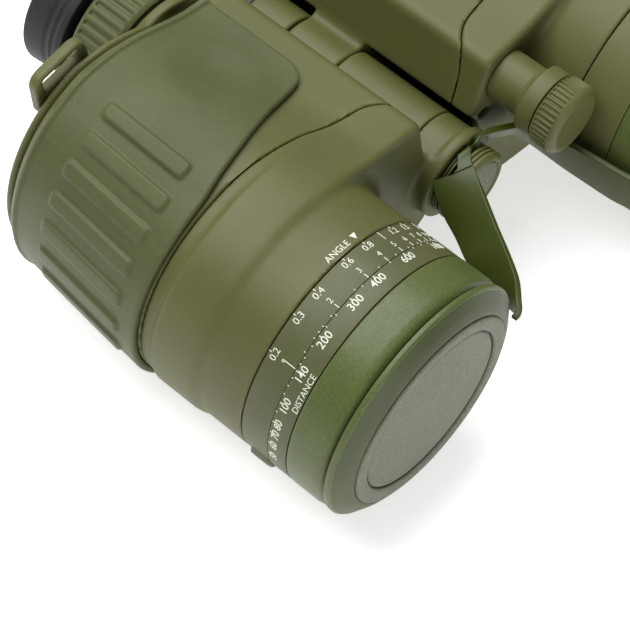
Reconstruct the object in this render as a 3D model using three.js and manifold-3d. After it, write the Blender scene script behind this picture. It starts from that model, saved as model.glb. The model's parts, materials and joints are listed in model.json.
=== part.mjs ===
// Waterproof Porro-prism binocular with a range calculator on the right objective.
// Millimetres, +X to the user's right barrel, +Y forward, +Z up. The halves are mirror images
// about the hinge, apart from the calculator rings, the reticle and the hinge knuckles.
import * as THREE from 'three';
import { mergeVertices } from 'three/addons/utils/BufferGeometryUtils.js';
import Module from 'manifold-3d';

const wasm = await Module();
wasm.setup();

// Driving dimensions. Y is counted from the rear edge of the angle ring until the whole
// binocular is moved back by CENTRE_Y, which centres it fore and aft.
const CENTRE_Y = -43.75;
const BARREL_X = 64.3;
const BARREL_Z = 35;
const BARREL_R = 34.9;
const HOUSING_R = 34.75;
const TUBE_R = 32;
const TUBE_BORE_R = 30.4;
const HINGE_Z = 31.8;
const EYE_X = 35;
const EYE_Z = 46;
const FOLD_X = 44.15;
const FOLD_Z = 25.85;
const WALL = 2.6;
const GAP = 0.3;

const REAR_Y = -86;
const SEAM_Y = -34.7;
const SHELF_Y = -50;
const SHOULDER_Y = -17;
const ANGLE_RING_END = 8.45;
const DISTANCE_RING_END = 14.45;
const TUBE_START = SHOULDER_Y - 2.6;
const TUBE_END = 24;
const RIM_END = 26.6;
const CAP_BACK = 26.95;
const CAP_FRONT = 32.5;
const EYE_END = -120;

const KNUCKLE_R = 12;
const SHAFT_R = 5;
const POST_R = 6;
const FRONT_KNUCKLE = [-54, -17.6];
const MIDDLE_KNUCKLE = [-72, -54.3];
const REAR_KNUCKLE = [-86, -72.3];

const OUTER_STEPS = 32;
const INNER_STEPS = 20;
const ARC_STEPS = 15;

// Finishes: colour, roughness, metalness.
const FINISH = {
  olive: [0x6b6c46, 0.62, 0.0],
  armour: [0x5c6440, 0.7, 0.0],
  rim: [0x56663a, 0.5, 0.0],
  ring: [0x5f6046, 0.6, 0.0],
  cap: [0x6a7358, 0.85, 0.0],
  tether: [0x46551c, 0.45, 0.0],
  rubber: [0x2b2c26, 0.8, 0.0],
  black: [0x17181a, 0.5, 0.3],
  steel: [0x8d8f92, 0.35, 0.9],
  glass: [0xbfd0c8, 0.05, 0.0],
  paint: [0xe8e8e0, 0.6, 0.0],
};

const binocular = new THREE.Group();
binocular.position.y = -CENTRE_Y;

// Solids

function toSolid(geometry) {
  const bare = geometry.clone();
  bare.deleteAttribute('normal');
  bare.deleteAttribute('uv');
  const merged = mergeVertices(bare, 1e-4);
  return new wasm.Manifold(new wasm.Mesh({
    numProp: 3,
    vertProperties: new Float32Array(merged.attributes.position.array),
    triVerts: new Uint32Array(merged.index.array),
  }));
}

function toGeometry(solid) {
  const mesh = solid.getMesh();
  const geometry = new THREE.BufferGeometry();
  geometry.setAttribute('position', new THREE.BufferAttribute(mesh.vertProperties, 3));
  geometry.setIndex(new THREE.BufferAttribute(mesh.triVerts, 1));
  return geometry;
}

// A ring or disc turned about an axis along Y through (x, z); profile holds [radius, y] pairs.
function turned(profile, x, z, steps = OUTER_STEPS) {
  const points = profile.map(([radius, y]) => new THREE.Vector2(radius, y));
  const shape = new THREE.LatheGeometry(points, steps);
  shape.translate(x, 0, z);
  return oriented(shape);
}

// Turns a closed surface right side out.
function oriented(geometry) {
  const merged = mergeVertices(stripped(geometry), 1e-4);
  const kept = [];
  const index = merged.index.array;
  const place = merged.attributes.position;
  const [a, b, c] = [new THREE.Vector3(), new THREE.Vector3(), new THREE.Vector3()];
  let volume = 0;
  for (let i = 0; i < index.length; i += 3) {
    if (index[i] === index[i + 1] || index[i + 1] === index[i + 2] || index[i] === index[i + 2]) {
      continue;
    }
    kept.push(index[i], index[i + 1], index[i + 2]);
    a.fromBufferAttribute(place, index[i]);
    b.fromBufferAttribute(place, index[i + 1]);
    c.fromBufferAttribute(place, index[i + 2]);
    volume += a.dot(b.cross(c));
  }
  if (volume < 0) {
    kept.reverse();
  }
  merged.setIndex(kept);
  return merged;
}

function stripped(geometry) {
  const bare = geometry.clone();
  bare.deleteAttribute('normal');
  bare.deleteAttribute('uv');
  return bare;
}

function disc(radius, y0, y1, x, z, steps = OUTER_STEPS) {
  return turned([[0, y0], [radius, y0], [radius, y1], [0, y1]], x, z, steps);
}

function collar(inner, outer, y0, y1, x, z, steps = OUTER_STEPS) {
  return turned([[inner, y0], [outer, y0], [outer, y1], [inner, y1], [inner, y0]], x, z, steps);
}

function box(x0, x1, y0, y1, z0, z1) {
  const shape = new THREE.BoxGeometry(x1 - x0, y1 - y0, z1 - z0);
  shape.translate((x0 + x1) / 2, (y0 + y1) / 2, (z0 + z1) / 2);
  return shape;
}

// A flat outline of [x, y] pairs, seen from above, raised from z0 to z1.
function raised(outline, z0, z1) {
  const shape = new THREE.Shape(outline.map(([x, y]) => new THREE.Vector2(x, y)));
  const block = new THREE.ExtrudeGeometry(shape, { depth: z1 - z0, bevelEnabled: false });
  block.translate(0, 0, z0);
  return oriented(block);
}

// Joins outlines of [x, z] pairs, all with the same number of points, at rising values of y.
function loft(places, outlineAt) {
  const rows = places.map(outlineAt);
  const count = rows[0].length;
  const points = [];
  const index = [];
  rows.forEach((row, i) => row.forEach(([x, z]) => points.push(x, places[i], z)));
  for (let i = 0; i + 1 < rows.length; i += 1) {
    for (let j = 0; j < count; j += 1) {
      const next = (j + 1) % count;
      const [a, b] = [i * count + j, i * count + next];
      index.push(a, b, a + count, b, b + count, a + count);
    }
  }
  for (const [row, start, forward] of [[rows[0], 0, false], [rows.at(-1), (rows.length - 1) * count, true]]) {
    const flat = row.map(([x, z]) => new THREE.Vector2(x, z));
    const faces = THREE.ShapeUtils.triangulateShape(flat, []);
    const sameWay = THREE.ShapeUtils.area(flat) * THREE.ShapeUtils.area(faces[0].map((k) => flat[k])) > 0;
    for (const [a, b, c] of faces) {
      index.push(start + a, start + (sameWay === forward ? b : c), start + (sameWay === forward ? c : b));
    }
  }
  const geometry = new THREE.BufferGeometry();
  geometry.setAttribute('position', new THREE.Float32BufferAttribute(points, 3));
  geometry.setIndex(index);
  return oriented(geometry);
}

const cut = (body, ...tools) => tools.reduce((left, tool) => left.subtract(toSolid(tool)), body);
const join = (body, ...others) => others.reduce((sum, other) => sum.add(toSolid(other)), body);

function mirrored(geometry) {
  const copy = stripped(geometry);
  copy.scale(-1, 1, 1);
  return oriented(copy);
}

function add(name, geometry, finish) {
  const [color, roughness, metalness] = FINISH[finish];
  const shown = geometry.index ? geometry.toNonIndexed() : geometry;
  shown.computeVertexNormals();
  const mesh = new THREE.Mesh(shown, new THREE.MeshStandardMaterial({ color, roughness, metalness }));
  mesh.name = name;
  binocular.add(mesh);
}

// Adds the piece to one side; geometry is given for the right side.
function addSide(side, name, geometry, finish) {
  add(`${side}_${name}`, side === 'left' ? mirrored(geometry) : geometry, finish);
}

// The housing outline, seen along the axis, for the right half. grow moves it outward.

// Points of an arc that rounds the corner between two straight runs.
function roundedCorner([x, z], radius, before, after, steps) {
  const corner = new THREE.Vector2(x, z);
  const into = new THREE.Vector2(before[0], before[1]).sub(corner).normalize();
  const out = new THREE.Vector2(after[0], after[1]).sub(corner).normalize();
  const half = into.angleTo(out) / 2;
  const reach = radius / Math.tan(half);
  const start = corner.clone().addScaledVector(into, reach);
  const end = corner.clone().addScaledVector(out, reach);
  const curve = new THREE.QuadraticBezierCurve(start, corner, end);
  return curve.getPoints(steps).map((point) => [point.x, point.y]);
}

const BLOCK_CORNERS = [
  { at: [33, 1.5], radius: 16 },
  { at: [8, 9], radius: 9 },
  { at: [1.9, 15], radius: 7 },
  { at: [14, 61.9], radius: 5 },
  { at: [42, 64], radius: 22 },
];
const TAPER_END = 0.84;

function housingOutline(y, grow = 0) {
  const taper = THREE.MathUtils.mapLinear(Math.min(y, SEAM_Y), SEAM_Y, REAR_Y, 1, TAPER_END);
  const outline = [];
  for (let i = 0; i <= ARC_STEPS; i += 1) {
    const turn = Math.PI * (0.5 - i / ARC_STEPS);
    const x = BARREL_X + HOUSING_R * taper * Math.cos(turn);
    outline.push([x, BARREL_Z + HOUSING_R * Math.sin(turn)]);
  }
  const ends = [outline.at(-1), ...BLOCK_CORNERS.map((corner) => corner.at), outline[0]];
  BLOCK_CORNERS.forEach(({ at, radius }, i) => {
    outline.push(...roundedCorner(at, radius, ends[i], ends[i + 2], 3));
  });
  return grown(outline, grow);
}

// Moves each point of a clockwise outline outward along its normal.
function grown(outline, grow) {
  const count = outline.length;
  return outline.map(([x, z], i) => {
    const [xa, za] = outline[(i + count - 1) % count];
    const [xb, zb] = outline[(i + 1) % count];
    const length = Math.hypot(xb - xa, zb - za);
    return [x - (zb - za) / length * grow, z + (xb - xa) / length * grow];
  });
}

const housing = (from, to, grow = 0) => {
  const places = [from, ...(from < SEAM_Y && to > SEAM_Y ? [SEAM_Y] : []), to];
  return loft(places, (y) => housingOutline(y, grow));
};

// The seam between the rear housing and the objective housing, seen from above.
const SEAM = [[12, -24], [15, -28], [20, -31.2], [33, -32.9], [41, -34.5], [60, SEAM_Y], [110, SEAM_Y]];

function behindSeam(shift) {
  const seam = SEAM.map(([x, y]) => [x, y - shift]);
  return raised([[-30, -100], [-30, seam[0][1]], ...seam, [110, -100]], -20, 90);
}

const hingeDisc = (radius, from, to) => disc(radius, from, to, 0, HINGE_Z);

// The housing with its knuckles, still in one piece, for one side.
function housingWithHinge(side) {
  const right = side === 'right';
  const own = right ? [FRONT_KNUCKLE, REAR_KNUCKLE] : [MIDDLE_KNUCKLE];
  const other = right ? [MIDDLE_KNUCKLE] : [[FRONT_KNUCKLE[0], 0], [-99, REAR_KNUCKLE[1]]];
  let body = toSolid(housing(REAR_Y, SHOULDER_Y));
  body = body.subtract(hingeRoom(other, KNUCKLE_R + 0.5));
  for (const [from, to] of own) {
    body = join(body, hingeDisc(KNUCKLE_R, from, to));
  }
  return cut(body, hingeDisc(SHAFT_R + 0.05, -100, 10));
}

function hingeRoom(ranges, radius) {
  const [first, ...rest] = ranges.map(([from, to]) => hingeDisc(radius, from - GAP, to + GAP));
  return join(toSolid(first), ...rest);
}

// The space inside the housing, kept away from the hinge.
function housingRoom(from, to) {
  const hinge = disc(KNUCKLE_R + WALL, -100, 10, 0, HINGE_Z, INNER_STEPS);
  return cut(toSolid(housing(from, to, -WALL)), hinge);
}

function bodyShell(side) {
  const solid = housingWithHinge(side).intersect(toSolid(behindSeam(GAP / 2)));
  return toGeometry(solid.subtract(housingRoom(REAR_Y - 1, SEAM_Y + 14)));
}

function objectiveShell(side) {
  const step = -GAP;
  const tube = turned([
    [TUBE_BORE_R, TUBE_START], [BARREL_R, TUBE_START], [BARREL_R, step], [TUBE_R, step], [TUBE_R, TUBE_END],
    [TUBE_BORE_R, TUBE_END], [TUBE_BORE_R, TUBE_START],
  ], BARREL_X, BARREL_Z);
  const bore = disc(TUBE_BORE_R, TUBE_START - 1, TUBE_END + 5, BARREL_X, BARREL_Z);
  const inside = housingRoom(REAR_Y, SHOULDER_Y - WALL);
  const solid = cut(housingWithHinge(side).subtract(inside), bore);
  return toGeometry(join(solid, tube).subtract(toSolid(behindSeam(-GAP / 2))));
}

// Rubber armour: a pad over the outboard side of the housing, with raised bars.

const ARMOUR = 2.5;
const ARMOUR_REAR = -84.5;
const ARMOUR_EDGE = [[24, -49], [29, -46.8], [40, -44.6], [56, -41.5], [68, -37.6], [78, -35.9], [110, -35.7]];
const BAR_COUNT = 6;
const BAR_FIRST = 15.2;
const BAR_PITCH = 14.9;

function armourPad() {
  const outline = [[24, ARMOUR_REAR], ...ARMOUR_EDGE, [110, ARMOUR_REAR]];
  const outer = toSolid(housing(REAR_Y, SEAM_Y, ARMOUR));
  const ring = outer.subtract(toSolid(housing(REAR_Y - 1, SEAM_Y + 1, GAP)));
  const top = toSolid(raised(outline, 29, 90));
  const lowOutline = [[64, ARMOUR_REAR], [64, -35.7], [110, -35.7], [110, ARMOUR_REAR]];
  const low = toSolid(raised(lowOutline, 0.15, 30));
  return join(ring.intersect(top.add(low)), ...armourBars());
}

function armourBars() {
  const bars = [];
  for (let i = 0; i < BAR_COUNT; i += 1) {
    const turn = THREE.MathUtils.degToRad(BAR_FIRST + BAR_PITCH * i);
    const front = -43.4 + 0.5 * i;
    const bar = loft([-72.6, front], (y) => {
      const taper = THREE.MathUtils.mapLinear(y, SEAM_Y, REAR_Y, 1, TAPER_END);
      const low = BARREL_R + ARMOUR - 1;
      return [[-2.9, low], [2.9, low], [2, low + 2.1], [-2, low + 2.1]].map(([across, out]) => {
        const x = BARREL_X + (out * Math.sin(turn) + across * Math.cos(turn)) * taper;
        return [x, BARREL_Z + out * Math.cos(turn) - across * Math.sin(turn)];
      });
    });
    bars.push(bar);
  }
  return bars;
}

// Light path: objective, rear prism, front prism, eyepiece.

const PRISM_SPAN = 21;
const PRISM_WIDTH = 18;
const PRISM_DEPTH = 20;

// A right-angle prism whose long face lies at y and spans the two light paths.
function prism([xa, za], [xb, zb], y, depth) {
  const along = new THREE.Vector2(xb - xa, zb - za).normalize();
  const across = new THREE.Vector2(-along.y, along.x);
  const middle = [(xa + xb) / 2, (za + zb) / 2];
  const place = (s, t) => [
    middle[0] + along.x * s + across.x * t,
    middle[1] + along.y * s + across.y * t,
  ];
  const half = PRISM_WIDTH / 2;
  const flat = 2.5;
  const outline = (span) => [place(-span, -half), place(span, -half), place(span, half), place(-span, half)];
  const rows = [[y, PRISM_SPAN], [y + depth, flat]].sort((a, b) => a[0] - b[0]);
  return loft(rows.map((row) => row[0]), (at) => outline(rows.find((row) => row[0] === at)[1]));
}

const OBJECTIVE = [BARREL_X, BARREL_Z];
const FOLD = [FOLD_X, FOLD_Z];
const EYE = [EYE_X, EYE_Z];

function prismShelf() {
  const plate = toSolid(housing(SHELF_Y - 1.2, SHELF_Y + 1.2, -WALL - GAP));
  const hinge = disc(KNUCKLE_R + WALL + GAP, -100, 0, 0, HINGE_Z, INNER_STEPS);
  const [a, b, c] = [
    disc(15, -60, -40, ...OBJECTIVE, INNER_STEPS),
    disc(8.6, -60, -40, ...FOLD, INNER_STEPS),
    disc(8.6, -60, -40, ...EYE, INNER_STEPS),
  ];
  return toGeometry(cut(plate, hinge, a, b, c));
}

// A spring strap that bridges a prism's blunt edge and stands on the shelf.
function prismClip([xa, za], [xb, zb], from, to) {
  const along = new THREE.Vector2(xb - xa, zb - za).normalize();
  const half = PRISM_WIDTH / 2 + 0.4;
  const sign = Math.sign(to - from);
  const strap = box(-2.2, 2.2, 0, 0.8, -half - 1, half + 1);
  strap.translate(0, sign > 0 ? to + 0.3 : to - 1.1, 0);
  const legs = [-half - 1, half].map((low) => (
    box(-2.2, 2.2, Math.min(from, to), Math.max(from, to), low, low + 1)
  ));
  const whole = toGeometry(join(toSolid(strap), ...legs.map((leg) => stretched(leg, sign))));
  whole.rotateY(-Math.atan2(along.y, along.x));
  whole.translate((xa + xb) / 2, 0, (za + zb) / 2);
  return whole;
}

// Lengthens a clip leg so that it runs into the strap.
function stretched(leg, sign) {
  const place = leg.attributes.position;
  for (let i = 0; i < place.count; i += 1) {
    const tip = sign > 0 ? place.getY(i) > SHELF_Y + 10 : place.getY(i) < SHELF_Y - 10;
    if (tip) {
      place.setY(i, place.getY(i) + sign * 0.7);
    }
  }
  return leg;
}

function addOptics(side) {
  const shelfFront = SHELF_Y + 1.2 + GAP;
  const shelfRear = SHELF_Y - 1.2 - GAP;
  addSide(side, 'prism_shelf', prismShelf(), 'black');
  addSide(side, 'rear_prism', prism(OBJECTIVE, FOLD, shelfRear, -PRISM_DEPTH), 'glass');
  addSide(side, 'front_prism', prism(FOLD, EYE, shelfFront, PRISM_DEPTH), 'glass');
  addSide(side, 'rear_prism_clip', prismClip(OBJECTIVE, FOLD, shelfRear, shelfRear - PRISM_DEPTH), 'steel');
  addSide(side, 'front_prism_clip', prismClip(FOLD, EYE, shelfFront, shelfFront + PRISM_DEPTH), 'steel');
  const cell = turned([
    [24, 6], [30.1, 6], [30.1, 21.2], [26, 21.2], [26, 9], [24, 9], [24, 6],
  ], ...OBJECTIVE, INNER_STEPS);
  addSide(side, 'objective_cell', cell, 'black');
  const lens = turned([
    [0, 9.4], [12, 9.3], [25.6, 11], [25.6, 14.5], [18, 16.5], [9, 17.7], [0, 18],
  ], ...OBJECTIVE, INNER_STEPS);
  addSide(side, 'objective_lens', lens, 'glass');
  addSide(side, 'lens_retainer', collar(23, 25.7, 18.4, 20.6, ...OBJECTIVE, INNER_STEPS), 'black');
}

// Front of each barrel: rings, rim, cap and its tether.

function rimRing() {
  return turned([
    [TUBE_R + GAP, DISTANCE_RING_END + 0.15], [BARREL_R + 0.1, DISTANCE_RING_END + 0.15],
    [BARREL_R + 0.1, 24.4], [BARREL_R - 0.5, 25.9], [BARREL_R - 1.7, RIM_END], [29, RIM_END],
    [29, TUBE_END + GAP], [TUBE_R + GAP, TUBE_END + GAP], [TUBE_R + GAP, DISTANCE_RING_END + 0.15],
  ], ...OBJECTIVE);
}

function lensCap() {
  return turned([
    [0, 31.6], [24.6, 31.6], [25.5, 31.1], [26.6, CAP_FRONT], [29.6, 32.3], [33.6, 29.2],
    [35, 28.3], [35, CAP_BACK], [28.7, CAP_BACK], [28.6, 21.6], [27, 21.6], [27, 29], [0, 29],
  ], ...OBJECTIVE);
}

function angleRing() {
  const ring = collar(TUBE_R + GAP, BARREL_R, 0, ANGLE_RING_END, ...OBJECTIVE);
  const lug = new THREE.Shape([
    [-7.5, 33.6], [7.5, 33.6], [6.4, 35.6], [4.6, 36.3], [-4.6, 36.3], [-6.4, 35.6],
  ].map(([x, y]) => new THREE.Vector2(x, y)));
  const block = new THREE.ExtrudeGeometry(lug, { depth: 6.6, bevelEnabled: false });
  block.rotateX(Math.PI / 2);
  block.translate(0, 8.2, 0);
  block.rotateY(THREE.MathUtils.degToRad(118));
  block.translate(BARREL_X, 0, BARREL_Z);
  return toGeometry(join(toSolid(ring), block));
}

// The lamp that lights the range scale, beside the left barrel: housing, cell and knurled cap.
const LAMP = [21.4, 51.9];

function addLamp() {
  const housing = turned([
    [0, -16.7], [7.5, -16.7], [7.5, -7], [9.8, -5.5], [9.8, -0.65], [8, -0.65], [8, 4.5], [6.6, 4.5], [6.6, -8],
    [0, -8],
  ], ...LAMP, INNER_STEPS);
  addSide('left', 'lamp_housing', housing, 'olive');
  addSide('left', 'lamp_cell', disc(6.2, -7.7, 4.2, ...LAMP, INNER_STEPS), 'steel');
  const cap = turned([
    [0, 7.5], [8.6, 7.5], [10.3, 6.2], [10.3, -0.35], [8.3, -0.35], [8.3, 5], [0, 5],
  ], ...LAMP, INNER_STEPS);
  addSide('left', 'lamp_cap', cap, 'olive');
}

// The tethers: the strip's upper and lower edge, row by row, from the hinge collar to the cap.
const TETHER_THICK = 1.8;
const TETHER_EDGES = {
  right: [
    [[-1.9, -11.6, 41.2], [2.9, -11.6, 41.2]], [[-1.9, -11.6, 42.5], [2.9, -11.6, 42.5]],
    [[-1.2, -10.5, 44.1], [3.5, -11.1, 43.8]], [[0.5, -8.9, 44], [5.1, -9.8, 43.3]],
    [[2.2, -7.3, 43.9], [6.2, -8.8, 42.8]], [[2.9, -6.3, 44.1], [7.4, -8.8, 42]],
    [[3.3, -5.6, 44.2], [10, -11, 39.6]], [[3.9, -4.7, 44.2], [11.7, -11.8, 38.6]],
    [[8.5, 2.3, 44.1], [14.5, -5.5, 34.8]], [[13.4, 10.5, 43.1], [17.3, 1.7, 33.2]],
    [[17.4, 17.1, 43], [20.8, 8.1, 32.9]], [[21.3, 23.4, 42.3], [22.7, 14.3, 32.2]],
    [[23.7, 26.2, 41.8], [24.5, 20.5, 30]], [[26.4, 28.6, 41.1], [26.4, 27.4, 28.8]],
    [[28.4, 30.4, 40.4], [28.4, 30.4, 29.6]], [[30.3, 30.6, 39.6], [30.3, 30.6, 30.4]],
  ],
  left: [
    [[2.4, -10.75, 41], [5.4, -10.75, 40]], [[2.4, -10.75, 42.7], [5.6, -10.75, 41.6]],
    [[3.2, -10.5, 44.6], [6.4, -10.6, 43.3]], [[6, -10.6, 45], [8.2, -11, 42.7]],
    [[9, -10.4, 44.4], [11.8, -11.9, 38.9]], [[14, -8.9, 42.8], [18.5, -13.4, 31.6]],
    [[18.5, -7.7, 40.6], [24.2, -12, 28.9]], [[21.5, -4, 39.4], [26, -8.4, 27.6]],
    [[23, 0.1, 38.9], [26.8, -3.6, 26.6]], [[25, 6, 38.6], [27.2, 3, 25.8]],
    [[26, 14, 38.8], [27.4, 12, 25.8]], [[26.4, 22, 39.4], [27.4, 21, 26.4]],
    [[27.2, 28, 40], [27.6, 27.6, 28]], [[28.6, 30.5, 40], [28.6, 30.5, 29.6]],
    [[30.3, 30.6, 39.4], [30.3, 30.6, 30.6]],
  ],
};
// The first rows of each strap, over the hinge, are thin; the rest has the full thickness.
const THIN_ROWS = { right: 8, left: 3 };
const COLLAR_Y = { right: -11.6, left: -10.75 };
const COLLAR_THICK = 0.75;
const COLLAR_R = 10.9;

function tether(side) {
  const rows = TETHER_EDGES[side].map((row) => row.map((edge) => new THREE.Vector3(...edge)));
  const points = [];
  const index = [];
  rows.forEach(([top, low], i) => {
    const before = rows[Math.max(i - 1, 0)][0];
    const after = rows[Math.min(i + 1, rows.length - 1)][0];
    const along = after.clone().sub(before).normalize();
    const out = low.clone().sub(top).cross(along).normalize();
    const thick = i < THIN_ROWS[side] ? COLLAR_THICK : TETHER_THICK;
    for (const [edge, t] of [[top, -1], [low, -1], [low, 1], [top, 1]]) {
      const corner = edge.clone().addScaledVector(out, t * thick / 2);
      points.push(corner.x, corner.y, corner.z);
    }
  });
  for (let i = 0; i + 1 < rows.length; i += 1) {
    for (let j = 0; j < 4; j += 1) {
      const [a, b] = [4 * i + j, 4 * i + (j + 1) % 4];
      index.push(a, b, a + 4, b, b + 4, a + 4);
    }
  }
  const last = 4 * (rows.length - 1);
  index.push(0, 2, 1, 0, 3, 2, last, last + 1, last + 2, last, last + 2, last + 3);
  const strip = new THREE.BufferGeometry();
  strip.setAttribute('position', new THREE.Float32BufferAttribute(points, 3));
  strip.setIndex(index);
  return oriented(strip);
}

function addTether(side) {
  const y = COLLAR_Y[side];
  const ring = collar(POST_R + GAP, COLLAR_R, y - COLLAR_THICK / 2, y + COLLAR_THICK / 2, 0, HINGE_Z, INNER_STEPS);
  const post = disc(POST_R + GAP, -30, 0, 0, HINGE_Z, INNER_STEPS);
  addSide(side, 'cap_tether', toGeometry(cut(join(toSolid(ring), tether(side)), post)), 'tether');
}

// Rear of each half: cover, eyepiece, strap lug.

function rearCover() {
  const plate = loft([REAR_Y - 3, REAR_Y - 2, REAR_Y - GAP], (y) => (
    housingOutline(REAR_Y, y < REAR_Y - 2.5 ? -1.6 : -0.4)
  ));
  const room = disc(KNUCKLE_R + 0.6, -100, 0, 0, HINGE_Z);
  const port = disc(12, -100, 0, ...EYE, INNER_STEPS);
  return toGeometry(cut(toSolid(plate), room, port));
}

function eyepiecePart(side) {
  const coverY = REAR_Y - 3 - GAP;
  const base = collar(15.3, 17, -103, coverY, ...EYE, INNER_STEPS);
  addSide(side, 'eyepiece_base', base, 'black');
  const ring = turned([
    [17.3, -104.2], [20, -104.2], [20.6, -103.2], [20.6, -92], [19.8, -91], [17.3, -91], [17.3, -104.2],
  ], ...EYE, INNER_STEPS);
  addSide(side, 'focus_ring', ring, 'armour');
  const barrel = turned([
    [12.2, -111], [17.6, -111], [17.6, -107], [15, -107], [15, -93], [12.8, -93], [12.8, -103],
    [11, -103], [11, -104], [12.2, -104], [12.2, -111],
  ], ...EYE, INNER_STEPS);
  addSide(side, 'ocular_barrel', barrel, 'black');
  const lens = turned([[0, -109.6], [7, -109.2], [12, -107.8], [12, -104.3], [0, -104.3]], ...EYE, INNER_STEPS);
  addSide(side, 'eyepiece_lens', lens, 'glass');
  const field = turned([[0, -102.6], [12.5, -102.6], [12.5, -99.5], [7, -98.2], [0, -97.8]], ...EYE, INNER_STEPS);
  addSide(side, 'field_lens', field, 'glass');
  const cup = turned([
    [14.6, -111.3], [17.9, -111.3], [17.9, -107], [19.6, -107], [20, -112], [20.6, EYE_END + 0.8],
    [19.4, EYE_END], [17.6, EYE_END], [14.6, -113.4], [14.6, -111.3],
  ], ...EYE, INNER_STEPS);
  addSide(side, 'eyecup', cup, 'rubber');
}

// A strap lug: an arched bar with a slot, its foot flat against the back of the rear cover.
const LUG_TURN = 12;
const LUG_AT = [70.4, 66.6];
const LUG_DEPTH = 3.4;
const LUG_OUTLINE = [[-10, -7], [10, -7], [9, 5.8], [7.4, 7.6], [-7.4, 7.6], [-9, 5.8]];
const LUG_SLOT = [[-6.4, 0.4], [-6.4, 5.7], [6.4, 5.7], [6.4, 0.4]];

function strapLug() {
  const outline = new THREE.Shape(LUG_OUTLINE.map(([x, y]) => new THREE.Vector2(x, y)));
  outline.holes.push(new THREE.Path(LUG_SLOT.map(([x, y]) => new THREE.Vector2(x, y))));
  const lug = new THREE.ExtrudeGeometry(outline, { depth: LUG_DEPTH, bevelEnabled: false });
  lug.rotateX(Math.PI / 2);
  lug.translate(0, REAR_Y - 3 - GAP, 0);
  lug.rotateY(THREE.MathUtils.degToRad(LUG_TURN));
  lug.translate(LUG_AT[0], 0, LUG_AT[1]);
  return lug;
}

// Hinge hardware on the main axis.

function addHinge() {
  const shaft = turned([
    [0, -88.8], [SHAFT_R, -88.8], [SHAFT_R, -16.8], [POST_R, -16.8], [POST_R, -10.3], [4.6, -10.3],
    [4.6, -8.7], [3.1, -8.7], [3.1, -15.7], [0, -15.7],
  ], 0, HINGE_Z, INNER_STEPS);
  add('hinge_shaft', shaft, 'steel');
  const flange = turned([
    [POST_R + GAP, -16.7], [12, -16.7], [12.1, -14.6], [12.6, -13.4], [12.5, -12.7], [11.8, -12.3],
    [POST_R + GAP, -12.3], [POST_R + GAP, -16.7],
  ], 0, HINGE_Z, INNER_STEPS);
  add('hinge_flange', flange, 'olive');
  add('tripod_seal', collar(4.9, 7.6, -10.25, -9.65, 0, HINGE_Z, INNER_STEPS), 'rubber');
  const knob = turned([
    [4.9, -9.55], [10.8, -9.55], [11.2, -9.2], [11.2, -6.7], [10.4, -5.2], [9.1, -5.2], [8.8, -5.6], [0, -5.6],
    [0, -6.5], [4.9, -6.5], [4.9, -9.55],
  ], 0, HINGE_Z, INNER_STEPS);
  add('tripod_cap', knob, 'olive');
  const nut = turned([[5.4, -89.6], [10.6, -89.6], [11, -89], [11, -86.4], [5.4, -86.4], [5.4, -89.6]],
    0, HINGE_Z, INNER_STEPS);
  add('hinge_nut', nut, 'black');
}

// One half of the binocular.
function addHalf(side) {
  addSide(side, 'body_shell', bodyShell(side), 'olive');
  addSide(side, 'objective_housing', objectiveShell(side), 'olive');
  addSide(side, 'armour_pad', toGeometry(armourPad()), 'armour');
  addSide(side, 'rear_cover', rearCover(), 'olive');
  addSide(side, 'strap_lug', strapLug(), 'olive');
  addOptics(side);
  addSide(side, 'rim', rimRing(), 'rim');
  addSide(side, 'lens_cap', lensCap(), 'cap');
  addTether(side);
  eyepiecePart(side);
}

addHalf('right');
addHalf('left');
add('angle_ring', angleRing(), 'ring');
const distance = collar(TUBE_R + GAP, BARREL_R, ANGLE_RING_END + 0.15, DISTANCE_RING_END, ...OBJECTIVE);
add('distance_ring', distance, 'ring');
const spacer = collar(TUBE_R + GAP, BARREL_R, 0, DISTANCE_RING_END, ...OBJECTIVE);
addSide('left', 'spacer_ring', spacer, 'olive');
addLamp();
add('range_reticle', disc(15, -90.7, -89.6, ...EYE, INNER_STEPS), 'glass');
addHinge();

export default binocular;
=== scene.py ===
"""A folding Porro-prism binocular with range calculator rings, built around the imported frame.

Shapes are worked out in millimetres in the design's own axes, where y counts from the rear edge of
the angle ring, and put into the frame's metres at the end. The left half is the right half mirrored.
"""
import json
import math

import bpy
import numpy as np
import openvdb
from mathutils import Matrix, Vector


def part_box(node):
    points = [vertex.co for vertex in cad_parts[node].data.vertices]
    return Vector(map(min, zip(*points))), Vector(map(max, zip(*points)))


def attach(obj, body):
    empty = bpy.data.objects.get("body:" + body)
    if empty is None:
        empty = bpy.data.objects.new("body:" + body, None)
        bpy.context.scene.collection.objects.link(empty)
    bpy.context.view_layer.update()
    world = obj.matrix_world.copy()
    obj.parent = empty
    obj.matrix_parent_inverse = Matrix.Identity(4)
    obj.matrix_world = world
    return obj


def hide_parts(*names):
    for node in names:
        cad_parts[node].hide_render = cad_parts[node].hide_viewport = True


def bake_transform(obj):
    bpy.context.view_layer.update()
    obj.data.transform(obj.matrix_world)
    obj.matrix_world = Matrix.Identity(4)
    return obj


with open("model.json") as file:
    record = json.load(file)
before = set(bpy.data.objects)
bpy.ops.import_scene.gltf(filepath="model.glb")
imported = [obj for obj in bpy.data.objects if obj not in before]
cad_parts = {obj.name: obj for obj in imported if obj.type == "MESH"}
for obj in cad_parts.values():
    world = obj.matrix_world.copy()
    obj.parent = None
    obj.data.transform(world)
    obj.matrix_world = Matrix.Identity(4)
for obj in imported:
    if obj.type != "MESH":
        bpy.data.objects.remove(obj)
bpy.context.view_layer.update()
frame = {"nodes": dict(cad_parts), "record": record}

# Driving sizes, in millimetres.
RING_LOW, RING_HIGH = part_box("angle_ring")
FRAME_Y = RING_LOW.y * 1000
BARREL_X, BARREL_Z, BARREL_R = 64.3, 35.0, 34.9
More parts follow.
